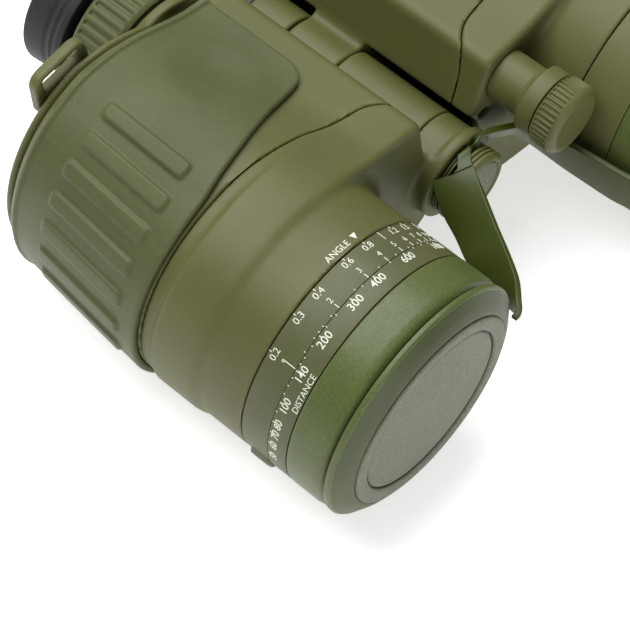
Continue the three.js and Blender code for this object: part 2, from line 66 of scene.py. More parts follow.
HOUSING_R = 34.75
BORE_R = 30.4
HINGE_Z, KNUCKLE_R, SHAFT_R = 31.8, 12.0, 5.1
EYE_X, EYE_Z = 35.0, 46.0
REAR_Y, SEAM_Y, SHOULDER_Y = -86.0, -34.7, -17.0
TAPER_END = 0.84
WALL = 2.6
RING_SPLIT, RING_END, RIM_END = 8.5, 14.5, 26.6
TUBE_END = -0.3
FLARE_R, FLARE_FRONT = 12.9, -13.3
FRONT_KNUCKLE = (-54.0, -17.6)
MIDDLE_KNUCKLE = (-72.0, -54.3)
REAR_KNUCKLE = (-86.0, -72.3)
BARREL, EYE, HINGE = (BARREL_X, BARREL_Z), (EYE_X, EYE_Z), (0.0, HINGE_Z)
LAMP = (21.4, 51.9)
SIDES = ("right", "left")


# ---------------------------------------------------------------- distance fields

def smin(a, b, k):
    """The lesser of two distances, with a fillet of about k where they meet."""
    h = np.clip(0.5 + 0.5 * (b - a) / k, 0, 1)
    return b * (1 - h) + a * h - k * h * (1 - h)


def smax(a, b, k):
    return -smin(-a, -b, k)


def radius(x, z, centre):
    return np.hypot(x - centre[0], z - centre[1])


def between(y, low, high):
    return np.maximum(low - y, y - high)


def ease(t):
    t = np.clip(t, 0, 1)
    return t * t * (3 - 2 * t)


def smooth_line(points, reach=3.0):
    """x and y samples of a line through a few points, with its corners rounded."""
    xs, ys = np.array(points, float).T
    dense = np.linspace(xs[0] - 20, xs[-1] + 20, 1200)
    step = dense[1] - dense[0]
    half = int(3 * reach / step)
    weight = np.exp(-0.5 * (np.arange(-half, half + 1) * step / reach) ** 2)
    flat = np.interp(np.arange(-half, dense.size + half) * step + dense[0], xs, ys)
    return dense, np.convolve(flat, weight / weight.sum(), "valid")


SEAM = smooth_line([(12, -24), (15, -28), (20, -31.2), (33, -32.9), (41, -34.5), (60, SEAM_Y)], 1.6)
PAD_FRONT = smooth_line([
    (22, -51), (25.5, -47.6), (42.6, -44.2), (59.3, -39.4), (75.5, -35.9), (85, -35.5), (100, -35.5),
], 2.2)

# Corners of the prism block, seen from the rear, in order; each run between two is a flat side.
BLOCK = [(60, 0.3), (33, 1.5), (8, 9), (1.9, 15), (13.9, 61.3), (58, 65.2), (64, 64), (64, 1)]
BLOCK_ROUND = 2.6
SHOULDER_ROUND = 2.2
# The housings end this far above the surface that the binocular lies on.
FLOOR_GAP = 0.1
# Above the hinge, each half keeps this many degrees clear of the upright, so that the fold has room.
FOLD_HALF = 20.6


def block(x, z):
    d = None
    for (xa, za), (xb, zb) in zip(BLOCK, BLOCK[1:] + BLOCK[:1]):
        length = math.hypot(xb - xa, zb - za)
        side = ((z - za) * (xb - xa) - (x - xa) * (zb - za)) / length
        d = side if d is None else smax(d, side, BLOCK_ROUND)
    return d


def section(x, y, z):
    """Distance to the housing's outline at y, before its ends are cut."""
    taper = np.interp(y, [REAR_Y, SEAM_Y], [TAPER_END, 1])
    wide = np.where(x > BARREL_X, BARREL_X + (x - BARREL_X) / taper, x)
    outline = smin(radius(wide, z, BARREL) - HOUSING_R, block(x, z), 11)
    return smax(outline, FLOOR_GAP - z, 1.5)


def housing(x, y, z, side):
    """The whole housing of one half, hollow, with its knuckles; the seam isn't cut yet."""
    right = side == "right"
    around = radius(x, z, BARREL)
    across = radius(x, z, HINGE)
    outline = section(x, y, z)
    body = smax(outline, y - SHOULDER_Y, SHOULDER_ROUND)
    tube = smax(around - BARREL_R, y - TUBE_END, 0.5)
    body = smin(body, np.maximum(tube, SHOULDER_Y - 12 - y), 4)
    body = smax(body, REAR_Y - y, 1)
    own = (FRONT_KNUCKLE, REAR_KNUCKLE) if right else (MIDDLE_KNUCKLE,)
    other = (MIDDLE_KNUCKLE,) if right else ((FRONT_KNUCKLE[0], 9), (-99, REAR_KNUCKLE[1]))
    clear = 0.5 if right else FAR_CLEARANCE
    for low, high in own:
        body = smin(body, smax(across - KNUCKLE_R, between(y, low, high), 1), 5)
    lean = math.radians(FOLD_HALF)
    past = x * math.cos(lean) - (z - HINGE[1]) * math.sin(lean)
    body = smax(body, -np.maximum(KNUCKLE_R + 0.15 - across, np.maximum(past, HINGE[1] - z)), 0.4)
    if right:
        stem = smax(across - KNUCKLE_R, between(y, FRONT_KNUCKLE[0], FLARE_FRONT), 0.3)
        flare = smax(across - FLARE_R, between(y, FLARE_FRONT - 1.0, FLARE_FRONT), 0.4)
        body = smin(body, smin(stem, flare, 4.5), 2)
        body = np.maximum(body, -FLARE_R - 0.2 - x)
    for low, high in other:
        body = smax(body, -np.maximum(across - KNUCKLE_R - clear, between(y, low - 0.3, high + 0.3)), 0.8)
    limits = between(y, own[0][0] if not right else -200, own[0][1] if not right else 200)
    body = np.where(x < 1.5, np.maximum(body, limits), body)
    inner = smax(outline + WALL, y - SHOULDER_Y + WALL, 1.5)
    inner = np.maximum(inner, KNUCKLE_R + WALL - across)
    bore = np.maximum(around - BORE_R, SHOULDER_Y - WALL - 1 - y)
    body = smax(body, -smin(inner, bore, 0.5), 0.4)
    hole_x, hole_z = SHOULDER_HOLE[side]
    hole = smax(np.hypot((x - hole_x) * 0.62, z - hole_z) - 1.35, SHOULDER_Y - 3.5 - y, 0.3)
    body = smax(body, -hole, 0.5)
    sleeve = np.maximum(np.maximum(around - 32, BORE_R - around), between(y, TUBE_END - 2, 24))
    body = np.minimum(body, sleeve)
    return np.maximum(smax(body, SHAFT_R - across, 0.5), FLOOR_GAP - z)


# The middle of the small blind hole in each half's front shoulder.
SHOULDER_HOLE = {"right": (8.2, 39.2), "left": (15.2, 41)}

# The left half stands this much further off the right half's knuckles, which shows as a dark gap.
FAR_CLEARANCE = 2.8


def seam_gap(x, y):
    return y - np.interp(x, *SEAM)


def rear_housing(side):
    def field(x, y, z):
        return smax(housing(x, y, z, side), seam_gap(x, y) + 0.14, 0.5)
    return field


def front_housing(side):
    def field(x, y, z):
        return smax(housing(x, y, z, side), 0.14 - seam_gap(x, y), 0.5)
    return field


# Raised bars on the armour: degrees from the top of the barrel, and where each one starts in front.
BAR_ANGLE, BAR_PITCH, BAR_HALF = 15.2, 14.9, 2.9
BAR_REAR, BAR_FRONTS = -72.6, (-43.4, -42.2, -41.9, -41.5, -41.0, -40.6, -40.4)
BAR_HEIGHT, DENT, DENT_R, DENT_DEPTH = 1.05, (44.5, -62.5), 13.0, 1.5
PAD_THICK = 2.25


def pad_relief(x, y, z):
    taper = np.interp(y, [REAR_Y, SEAM_Y], [TAPER_END, 1])
    wide = np.where(x > BARREL_X, (x - BARREL_X) / taper, x - BARREL_X)
    angle = np.degrees(np.arctan2(wide, z - BARREL_Z))
    relief = np.zeros_like(x)
    for i, front in enumerate(BAR_FRONTS):
        off = np.abs(angle - BAR_ANGLE - BAR_PITCH * i) * math.radians(1) * 37
        inside = smax(off - BAR_HALF, between(y, BAR_REAR, front), 1.6)
        relief = relief + BAR_HEIGHT * ease(-inside / 1.1)
    away = np.hypot(x - DENT[0], y - DENT[1]) / DENT_R
    relief = relief - np.where(z > 45, DENT_DEPTH * ease(1 - away) ** 0.8, 0)
    rim = np.abs(y + 82.6)
    return relief + 0.7 * ease(1 - rim / 1.3)


def armour_pad(x, y, z):
    skin = section(x, y, z)
    shell = smax(skin - PAD_THICK - pad_relief(x, y, z), 0.12 - skin, 0.3)
    inboard = np.where(z > BARREL_Z, 23.6 - x, 64 - x)
    front = y - np.where(z > BARREL_Z, np.interp(x, *PAD_FRONT), -35.5)
    edge = smax(smax(front, inboard, 5), -84.4 - y, 2)
    edge = np.maximum(edge, 0.2 - z)
    return smax(shell, edge, 1.0)


def rear_cover(x, y, z):
    body = smax(section(x, y, z) + 0.35, between(y, REAR_Y - 3, REAR_Y - 0.3), 2.4)
    body = smax(body, KNUCKLE_R + 0.6 - radius(x, z, HINGE), 0.5)
    ring = np.abs(radius(x, z, EYE) - 18.6) - 1.2
    body = smin(body, smax(ring, between(y, REAR_Y - 4, REAR_Y - 1), 0.8), 1.2)
    return smax(body, 12 - radius(x, z, EYE), 0.4)


LUG_TURN, LUG_AT = math.radians(12), (70.4, 66.6)


def strap_lug(x, y, z):
    across = (x - LUG_AT[0]) * math.cos(LUG_TURN) - (z - LUG_AT[1]) * math.sin(LUG_TURN)
    up = (x - LUG_AT[0]) * math.sin(LUG_TURN) + (z - LUG_AT[1]) * math.cos(LUG_TURN)
    outer = smax(smax(np.abs(across) - 9.4 + 0.06 * up, up - 7.5, 4), -6.9 - up, 2)
    slot = smax(np.abs(across) - 6.3, between(up, 0.4, 5.7), 1.2)
    plate = smax(outer, -slot, 0.9)
    return smax(plate, between(y, -92.7, -89.3), 1.1)


# ---------------------------------------------------------------- meshes

def to_frame(points, side):
    """Design millimetres to the frame's metres, mirrored for the left half."""
    points = np.array(points, float)
    points[:, 1] += FRAME_Y
    if side == "left":
        points[:, 0] *= -1
    return points / 1000


def new_mesh(name, points, faces, smooth=True, crease=38):
    mesh = bpy.data.meshes.new(name)
    mesh.from_pydata([tuple(p) for p in points], [], [tuple(f) for f in faces])
    mesh.update()
    mesh.validate()
    piece = bpy.data.objects.new(name, mesh)
    bpy.context.scene.collection.objects.link(piece)
    mesh.shade_smooth() if smooth else mesh.shade_flat()
    if smooth:
        mesh.set_sharp_from_angle(angle=math.radians(crease))
    return piece


def carve(name, field, low, high, side, voxel=0.7):
    """A piece from a distance field over a box, its points pulled onto the surface itself."""
    axes = [np.arange(a, b + voxel, voxel, dtype=np.float32) for a, b in zip(low, high)]
    x, y, z = np.meshgrid(*axes, indexing="ij")
    values = np.clip(field(x, y, z), -2.5, 2.5).astype(np.float32)
    grid = openvdb.FloatGrid(2.5)
    grid.copyFromArray(values)
    points, corners = grid.convertToPolygons(isovalue=0.0)[::2]
    points = np.array(points, float) * voxel + np.array(low, float)
    for _ in range(4):
        points -= pull(field, points, 0.05)
    faces = np.array(corners, int)
    if volume_of(points, faces) < 0:
        faces = faces[:, ::-1]
    if side == "left":
        faces = faces[:, ::-1]
    return new_mesh(name, to_frame(points, side), faces, crease=62)


def pull(field, points, step):
    """How far each point moves back along the field's slope to reach the surface."""
    x, y, z = points.T
    here = field(x, y, z)
    slope = np.stack([
        field(x + step, y, z) - field(x - step, y, z),
        field(x, y + step, z) - field(x, y - step, z),
        field(x, y, z + step) - field(x, y, z - step),
    ], 1) / (2 * step)
    size = np.maximum((slope ** 2).sum(1), 0.25)
    move = np.clip(here / size, -0.4, 0.4)
    return slope * move[:, None]


def volume_of(points, faces):
    a, b, c, d = (points[faces[:, i]] for i in range(4))
    return (np.einsum("ij,ij->i", a, np.cross(b, c)) + np.einsum("ij,ij->i", a, np.cross(c, d))).sum()


def rounded(profile, size=0.35, steps=3):
    """A closed profile of (radius, y) corners, each one rounded off; corners on the axis stay."""
    out = []
    count = len(profile)
    for i, (r, y) in enumerate(profile):
        here = Vector((r, y))
        before, after = Vector(profile[i - 1]), Vector(profile[(i + 1) % count])
        if r < 1e-6:
            out.append((r, y))
            continue
        cut = min(size, (before - here).length * 0.45, (after - here).length * 0.45)
        start = here + (before - here).normalized() * cut
        end = here + (after - here).normalized() * cut
        for k in range(steps + 1):
            t = k / steps
            point = start * (1 - t) ** 2 + here * (2 * t * (1 - t)) + end * t * t
            out.append((point.x, point.y))
    return out


def turned(name, profile, centre, side, steps=128, size=0.35, wave=None):
    """A piece turned about an axis along y; wave(angle, radius, y) gives each point its own radius."""
    outline = rounded(profile, size) if size else profile
    closed = not (outline[0][0] < 1e-6 and outline[-1][0] < 1e-6)
    points, faces, row = [], [], []
    for r, y in outline:
        if r < 1e-6:
            row.append([len(points)] * steps)
            points.append((centre[0], y, centre[1]))
            continue
        row.append(list(range(len(points), len(points) + steps)))
        for k in range(steps):
            angle = 2 * math.pi * k / steps
            reach = wave(angle, r, y) if wave else r
            points.append((centre[0] + reach * math.cos(angle), y, centre[1] + reach * math.sin(angle)))
    pairs = list(zip(row, row[1:])) + ([(row[-1], row[0])] if closed else [])
    for a, b in pairs:
        for k in range(steps):
            n = (k + 1) % steps
            face = [a[k], a[n], b[n], b[k]]
            face = [v for i, v in enumerate(face) if v not in face[:i]]
            if len(face) > 2:
                faces.append(face)
    points = np.array(points)
    if turned_volume(points, faces) < 0:
        faces = [f[::-1] for f in faces]
    if side == "left":
        faces = [f[::-1] for f in faces]
    return new_mesh(name, to_frame(points, side), faces)


def turned_volume(points, faces):
    total = 0
    for f in faces:
        for i in range(1, len(f) - 1):
            total += float(np.dot(points[f[0]], np.cross(points[f[i]], points[f[i + 1]])))
    return total


def put(piece, body, material, nodes=()):
    """Gives a piece its material and body, and lets it stand for its CAD nodes."""
    piece.data.materials.clear()
    piece.data.materials.append(material)
    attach(piece, body)
    if nodes:
        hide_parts(*nodes)
    return piece


# ---------------------------------------------------------------- materials

def srgb(r, g, b):
    def line(v):
        v = v / 255
        return v / 12.92 if v <= 0.04045 else ((v + 0.055) / 1.055) ** 2.4
    return (line(r), line(g), line(b), 1)


def shader(name):
    material = bpy.data.materials.new(name)
    material.use_nodes = True
    tree = material.node_tree
    return material, tree, tree.nodes["Principled BSDF"]


def noise(tree, scale, detail=3.0, rough=0.5):
    place = tree.nodes.new("ShaderNodeTexCoord")
    texture = tree.nodes.new("ShaderNodeTexNoise")
    texture.inputs["Scale"].default_value = scale
    texture.inputs["Detail"].default_value = detail
    texture.inputs["Roughness"].default_value = rough
    tree.links.new(place.outputs["Object"], texture.inputs["Vector"])
    return texture.outputs["Fac"]


def ramp(tree, value, stops):
    node = tree.nodes.new("ShaderNodeValToRGB")
    for _ in range(len(stops) - 2):
        node.color_ramp.elements.new(0.5)
    for element, (place, colour) in zip(node.color_ramp.elements, stops):
        element.position = place
        element.color = colour
    tree.links.new(value, node.inputs["Fac"])
    return node.outputs["Color"]


def spread(tree, value, low, high, from_low=0.3, from_high=0.7):
    node = tree.nodes.new("ShaderNodeMapRange")
    node.inputs["From Min"].default_value = from_low
    node.inputs["From Max"].default_value = from_high
    node.inputs["To Min"].default_value = low
    node.inputs["To Max"].default_value = high
    tree.links.new(value, node.inputs["Value"])
    return node.outputs["Result"]


def blend_colour(tree, kind, factor, a, b):
    node = tree.nodes.new("ShaderNodeMix")
    node.data_type = "RGBA"
    node.blend_type = kind
    for socket, value in ((node.inputs["Factor"], factor), (node.inputs["A"], a), (node.inputs["B"], b)):
        if isinstance(value, bpy.types.NodeSocket):
            tree.links.new(value, socket)
        else:
            socket.default_value = value
    return node.outputs["Result"]


def bump(tree, height, strength, distance, onto=None):
    node = tree.nodes.new("ShaderNodeBump")
    node.inputs["Strength"].default_value = strength
    node.inputs["Distance"].default_value = distance
    tree.links.new(height, node.inputs["Height"])
    if onto:
        tree.links.new(onto, node.inputs["Normal"])
    return node.outputs["Normal"]


def edge_wear(tree, low=0.505, high=0.56):
    """1 on sharp outer edges, 0 elsewhere."""
    geometry = tree.nodes.new("ShaderNodeNewGeometry")
    return spread(tree, geometry.outputs["Pointiness"], 0, 1, low, high)


def grained(name, colour, rough, grain=2600, grain_height=0.00004, speckle=0.12, coat=0.0, wear=0.25,
            mottle=0.06, sheen=0.0):
    """Moulded or coated surface: soft mottling, fine grain, speckle, and worn edges."""
    material, tree, principled = shader(name)
    base = srgb(*colour)
    dark = tuple(c * (1 - mottle) for c in base[:3]) + (1,)
    light = tuple(c * (1 + mottle) for c in base[:3]) + (1,)
    cloud = ramp(tree, noise(tree, 45, 4), [(0.35, dark), (0.65, light)])
    fine = noise(tree, grain, 2, 0.6)
    shade = ramp(tree, fine, [(0.3, (1 - speckle,) * 3 + (1,)), (0.7, (1 + speckle * 0.6,) * 3 + (1,))])
    mixed = blend_colour(tree, "MULTIPLY", 1.0, cloud, shade)
    pale = tuple(min(1, c * 1.35 + 0.01) for c in base[:3]) + (1,)
    worn = tree.nodes.new("ShaderNodeMath")
    worn.operation = "MULTIPLY"
    worn.inputs[1].default_value = wear
    tree.links.new(edge_wear(tree), worn.inputs[0])
    tree.links.new(blend_colour(tree, "MIX", worn.outputs[0], mixed, pale), principled.inputs["Base Color"])
    smudge = spread(tree, noise(tree, 28, 5, 0.6), rough - 0.05, rough + 0.06)
    tree.links.new(smudge, principled.inputs["Roughness"])
    coarse = bump(tree, noise(tree, grain / 3.2, 2), 0.25, grain_height * 2)
    tree.links.new(bump(tree, fine, 0.55, grain_height, coarse), principled.inputs["Normal"])
    principled.inputs["Specular IOR Level"].default_value = 0.32
    principled.inputs["Coat Weight"].default_value = coat
    principled.inputs["Coat Roughness"].default_value = 0.35
    principled.inputs["Sheen Weight"].default_value = sheen
    return material


OLIVE = grained("olive_coat", (84, 85, 45), 0.5, grain=2400, speckle=0.1)
ARMOUR = grained("armour_rubber", (72, 78, 41), 0.56, grain=1900, speckle=0.13, grain_height=0.00006,
                 sheen=0.05)
RIM = grained("rim_rubber", (78, 89, 44), 0.42, grain=1500, speckle=0.22, grain_height=0.00008)
RING = grained("ring_coat", (78, 80, 49), 0.5, grain=2400, speckle=0.08)
CAP = grained("cap_disc", (102, 105, 87), 0.62, grain=1200, speckle=0.3, grain_height=0.00012)
CAP_EDGE = grained("cap_moulding", (66, 74, 43), 0.5, grain=2200, speckle=0.12)
TETHER = grained("tether_rubber", (54, 64, 17), 0.4, grain=3000, speckle=0.05, grain_height=0.00002,
                 wear=0.12)
BLACK = grained("black_anodised", (26, 26, 27), 0.4, grain=3000, speckle=0.2)
EYE_RUBBER = grained("eyecup_rubber", (38, 39, 36), 0.6, grain=1800, speckle=0.2, grain_height=0.00006)
PRINT = grained("scale_print", (214, 216, 200), 0.5, grain=4000, speckle=0.03, wear=0.0, mottle=0.02)


def metal(name, colour, rough):
    material, tree, principled = shader(name)
    principled.inputs["Metallic"].default_value = 1.0
    streak = ramp(tree, noise(tree, 900, 2), [(0.3, srgb(*[c * 0.86 for c in colour])), (0.7, srgb(*colour))])
    tree.links.new(streak, principled.inputs["Base Color"])
    smudge = spread(tree, noise(tree, 300, 3), rough - 0.08, rough + 0.1)
    tree.links.new(smudge, principled.inputs["Roughness"])
    tree.links.new(bump(tree, noise(tree, 1800, 2), 0.2, 0.00002), principled.inputs["Normal"])
    return material


def coated_glass(name, colour):
    material, tree, principled = shader(name)
    principled.inputs["Transmission Weight"].default_value = 1.0
    principled.inputs["IOR"].default_value = 1.52
    principled.inputs["Coat Weight"].default_value = 0.6
    principled.inputs["Coat Roughness"].default_value = 0.03
    paler = [min(255, c + 8) for c in colour]
    tint = ramp(tree, noise(tree, 60, 2), [(0.3, srgb(*colour)), (0.7, srgb(*paler))])
    tree.links.new(tint, principled.inputs["Base Color"])
    tree.links.new(spread(tree, noise(tree, 120, 2), 0.01, 0.05), principled.inputs["Roughness"])
    return material


STEEL = metal("steel", (150, 150, 148), 0.35)
GLASS = coated_glass("coated_glass", (206, 222, 226))


# ---------------------------------------------------------------- housing, armour and covers

def add_housing(side):
    half = f"{side}_half"
    rear = carve(f"{side}_rear_housing", rear_housing(side), (-14, -88, -1), (101, -22, 73), side)
    put(rear, half, OLIVE, [f"{side}_body_shell"])
    front = carve(f"{side}_front_housing", front_housing(side), (-14, -38, -2), (101, 26, 72), side)
    put(front, half, OLIVE, [f"{side}_objective_housing"])
    pad = carve(f"{side}_armour", armour_pad, (21, -87, -1), (104, -33, 75), side, 0.48)
    put(pad, half, ARMOUR, [f"{side}_armour_pad"])
    cover = carve(f"{side}_cover", rear_cover, (0, -91, -1), (96, -85, 71), side, 0.6)
    put(cover, half, OLIVE, [f"{side}_rear_cover"])
    lug = carve(f"{side}_lug", strap_lug, (58, -94, 57), (84, -88, 77), side, 0.45)
    put(lug, half, OLIVE, [f"{side}_strap_lug"])
    for i, (x, z) in enumerate([(22, 55), (57, 61), (87, 46), (86, 20), (52, 7.5), (18, 11)]):
        add_screw(f"{side}_cover_screw_{i + 1}", (x, z), side, half)


def add_screw(name, centre, side, body):
    """A pan head with a hollow in its middle, standing on the rear cover."""
    head = [(0, -89.75), (0.55, -89.75), (0.62, -90.25), (1.7, -90.1), (2.1, -89.6), (2.1, -88.8), (0, -88.8)]
    put(turned(name, head, centre, side, 24, 0.15), body, STEEL)


# ---------------------------------------------------------------- barrel fronts

def add_barrel_front(side):
    half = f"{side}_half"
    inner = 32.3
    start = RING_END + 0.15
    rim = turned(f"{side}_front_rim", [
        (inner, start), (34.85, start), (34.95, 16), (34.95, 23.6), (34.6, 25.2), (33.6, 26.4),
        (32.2, RIM_END),
        (29, RIM_END), (29, 24.3), (inner, 24.3),
    ], BARREL, side, 160, 0.5)
    put(rim, half, RIM, [f"{side}_rim"])
    cap = turned(f"{side}_cap_shell", [
        (0, 29.1), (26.95, 29.1), (26.95, 21.6), (28.6, 21.6), (28.7, 27.3), (34.1, 27.3), (34.3, 28.7),
        (31.6, 30.7), (29.6, 31.7), (28.9, 31.75), (28.4, 31.5), (24, 31.0), (0, 31.0),
    ], BARREL, side, 160, 0.22)
    put(cap, f"{side}_lens_cap", CAP_EDGE, [f"{side}_lens_cap"])
    band = turned(f"{side}_cap_band", [
        (33.9, 26.95), (34.9, 26.95), (34.95, 28.1), (34.4, 28.75), (33.9, 28.7),
    ], BARREL, side, 160, 0.15)
    put(band, f"{side}_lens_cap", RIM)
    lip = turned(f"{side}_cap_lip", [
        (24.3, 30.9), (28.5, 30.9), (28.4, 32.2), (27.8, 32.45), (24.9, 32.4), (24.3, 32.0),
    ], BARREL, side, 160, 0.2)
    put(lip, f"{side}_lens_cap", CAP)
    disc = turned(f"{side}_cap_disc", [
        (0, 30.9), (23.9, 30.9), (23.8, 31.7), (23.2, 31.95), (0, 32.0),
    ], BARREL, side, 160, 0.12)
    put(disc, f"{side}_lens_cap", CAP)


def add_rings():
    inner = 32.3
    ring = turned("angle_ring_skin", [
        (inner, 0.05), (34.86, 0.05), (34.86, RING_SPLIT - 0.06), (inner, RING_SPLIT - 0.06),
    ], BARREL, "right", 192, 0.16)
    put(ring, "angle_ring", RING, ["angle_ring"])
    lug = carve("angle_ring_grip", ring_grip, (60, 0, 10), (102, 10, 60), "right", 0.4)
    put(lug, "angle_ring", RING)
    fixed = turned("distance_ring_skin", [
        (inner, RING_SPLIT + 0.06), (34.86, RING_SPLIT + 0.06),
        (34.86, RING_END - 0.05), (inner, RING_END - 0.05),
    ], BARREL, "right", 192, 0.16)
    put(fixed, "right_half", RING, ["distance_ring"])


def ring_grip(x, y, z):
    """The raised grip on the angle ring's outboard underside."""
    turn = math.radians(118)
    along = (x - BARREL_X) * math.sin(turn) + (z - BARREL_Z) * math.cos(turn)
    across = (x - BARREL_X) * math.cos(turn) - (z - BARREL_Z) * math.sin(turn)
    top = 36.0 - 1.3 * ease((np.abs(across) - 3) / 3.2)
    body = smax(radius(x, z, BARREL) - top, between(y, 2.0, 7.6), 0.8)
    body = np.maximum(body, np.abs(across) - 6.2)
    return np.maximum(np.maximum(body, 34.6 - radius(x, z, BARREL)), -along)


def add_left_ring():
    spacer = turned("left_plain_ring", [
        (32.3, 0.05), (34.8, 0.05), (34.8, RING_END), (32.3, RING_END),
    ], BARREL, "left", 160, 0.3)
    put(spacer, "left_half", OLIVE, ["left_spacer_ring"])


def add_lamp():
    """The small round housing beside the left barrel, with its knurled cap."""
    shell = turned("lamp_housing_shell", [
        (0, -16.9), (7.4, -16.9), (7.4, -7.6), (8.2, -6.2), (9.7, -5.5), (9.75, -0.75), (8.05, -0.75),
        (8.05, 4.4), (6.65, 4.4), (6.65, -7.9), (0, -7.9),
    ], LAMP, "left", 96, 0.3)
    put(shell, "left_half", OLIVE, ["left_lamp_housing"])
    ribs = 40

    def knurl(angle, r, y):
        lift = ease(0.5 + 1.4 * math.cos(ribs * angle))
        return r - (1 - lift) * 0.55 if r > 10.1 and 0.2 < y < 5.4 else r
    cap = turned("lamp_cap_shell", [
        (8.35, -0.3), (9.8, -0.3), (10.1, -0.1), (10.25, 0.1), (10.25, 0.3), (10.25, 5.3), (10.2, 5.5),
        (10.0, 6.2), (9.4, 7.0), (8.4, 7.4), (7.6, 7.45), (6.9, 7.2), (0, 7.2), (0, 5.05), (8.35, 5.05),
    ], LAMP, "left", ribs * 8, 0, knurl)
    put(cap, "left_lamp_cap", OLIVE, ["left_lamp_cap"])


# ---------------------------------------------------------------- scales

# Half the thickness of the printed marks.
PRINT_HALF = 0.06
# Degrees towards the hinge of each scale's 1, and the degrees that a tenfold step takes.
SIZE_AT, ANGLE_AT, DISTANCE_AT = 19.7, -49.8, -66.1
DECADE, DISTANCE_DECADE = 100, 109


def lettering(text, size, weight=0.0):
    """Points and faces of a solid line of text, centred across, its foot on the line v = 0."""
    curve = bpy.data.curves.new("lettering", "FONT")
    curve.body = text
    curve.size = size
    curve.offset = weight
    curve.extrude = PRINT_HALF
    curve.align_x = "CENTER"
    curve.resolution_u = 3
    holder = bpy.data.objects.new("lettering", curve)
    bpy.context.scene.collection.objects.link(holder)
    bpy.context.view_layer.update()
    mesh = bpy.data.meshes.new_from_object(holder.evaluated_get(bpy.context.evaluated_depsgraph_get()))
    points = np.array([v.co for v in mesh.vertices], float).reshape(-1, 3)
    faces = [tuple(p.vertices) for p in mesh.polygons]
    bpy.data.objects.remove(holder)
    bpy.data.meshes.remove(mesh)
    return points, faces


def bar_mark(width, height):
    half = width / 2
    corners = ((-half, 0), (half, 0), (half, height), (-half, height))
    points = [(x, v, w) for w in (-PRINT_HALF, PRINT_HALF) for x, v in corners]
    faces = [(3, 2, 1, 0), (4, 5, 6, 7), (0, 1, 5, 4), (1, 2, 6, 5), (2, 3, 7, 6), (3, 0, 4, 7)]
    return np.array(points, float), faces


def arrow_mark(width, height):
    half = width / 2
    corners = ((0, 0), (half, height), (-half, height))
    points = [(x, v, w) for w in (-PRINT_HALF, PRINT_HALF) for x, v in corners]
    faces = [(2, 1, 0), (3, 4, 5), (0, 1, 4, 3), (1, 2, 5, 4), (2, 0, 3, 5)]
    return np.array(points, float), faces


def wrapped(marks, name, body, skin=34.88):
    """Bends flat marks onto the barrel. Each mark is (points, faces, degrees toward the hinge, foot y)."""
    points, faces = [], []
    for flat, polygons, degrees, foot in marks:
        first = len(points)
        for u, v, w in flat:
            angle = math.radians(degrees) + u / skin
            reach = skin + w
            points.append((BARREL_X - reach * math.sin(angle), foot - v, BARREL_Z + reach * math.cos(angle)))
        faces += [tuple(first + k for k in polygon) for polygon in polygons]
    piece = new_mesh(name, to_frame(points, "right"), faces, smooth=False)
    return put(piece, body, PRINT)


def add_scales():
    turning, fixed = [], []
    for value in (0.2, 0.3, 0.4, 0.6, 0.8, 1, 1.2, 1.5, 2, 3):
        at = SIZE_AT + DECADE * math.log10(value)
        text = "%g" % value
        if value == 1:
            turning.append((*bar_mark(0.22, 2.9), at, 3.0))
            continue
        turning.append((*lettering(text, 2.75, -0.012), at, 2.75))
        turning.append((*bar_mark(0.2, 0.85), at, 0.95))
    for step in range(10, 101, 1):
        value = step / 10
        at = ANGLE_AT + DECADE * math.log10(value)
        if step % 10 == 0:
            if step == 10:
                turning.append((*bar_mark(0.24, 4.1), at, 8.3))
                turning.append((*bar_mark(0.24, 0.8), at - 0.7, 5.0))
                continue
            turning.append((*lettering("%g" % value, 2.45, -0.012), at, 6.1))
            turning.append((*bar_mark(0.22, 1.5), at, 8.3))
        elif step % 5 == 0 or step < 20 and step % 2 == 0:
            turning.append((*bar_mark(0.18, 0.5), at, 8.35))
    for value in (50, 60, 70, 80, 100, 140, 200, 300, 400, 600, 1000):
        at = DISTANCE_AT + DISTANCE_DECADE * math.log10(value / 100)
        fixed.append((*lettering(str(value), 3.1, 0.015), at, 11.5))
        fixed.append((*bar_mark(0.26, 0.95), at, 9.7))
    for value in (90, 110, 120, 130, 150, 160, 180, 220, 250, 350, 500, 700, 800, 900):
        at = DISTANCE_AT + DISTANCE_DECADE * math.log10(value / 100)
        fixed.append((*bar_mark(0.2, 0.5), at, 9.1))
    fixed.append((*lettering("DISTANCE", 2.45, -0.01), -56.5, 14.15))
    wrapped(turning, "turning_scales", "angle_ring")
    wrapped(fixed, "distance_scale", "right_half")
    index = [(*lettering("ANGLE", 2.6, 0.0), -1.1, -1.4), (*arrow_mark(2.0, 1.9), 9.8, -1.5)]
    wrapped(index, "angle_index", "right_half", BARREL_R + 0.02)


# ---------------------------------------------------------------- tethers

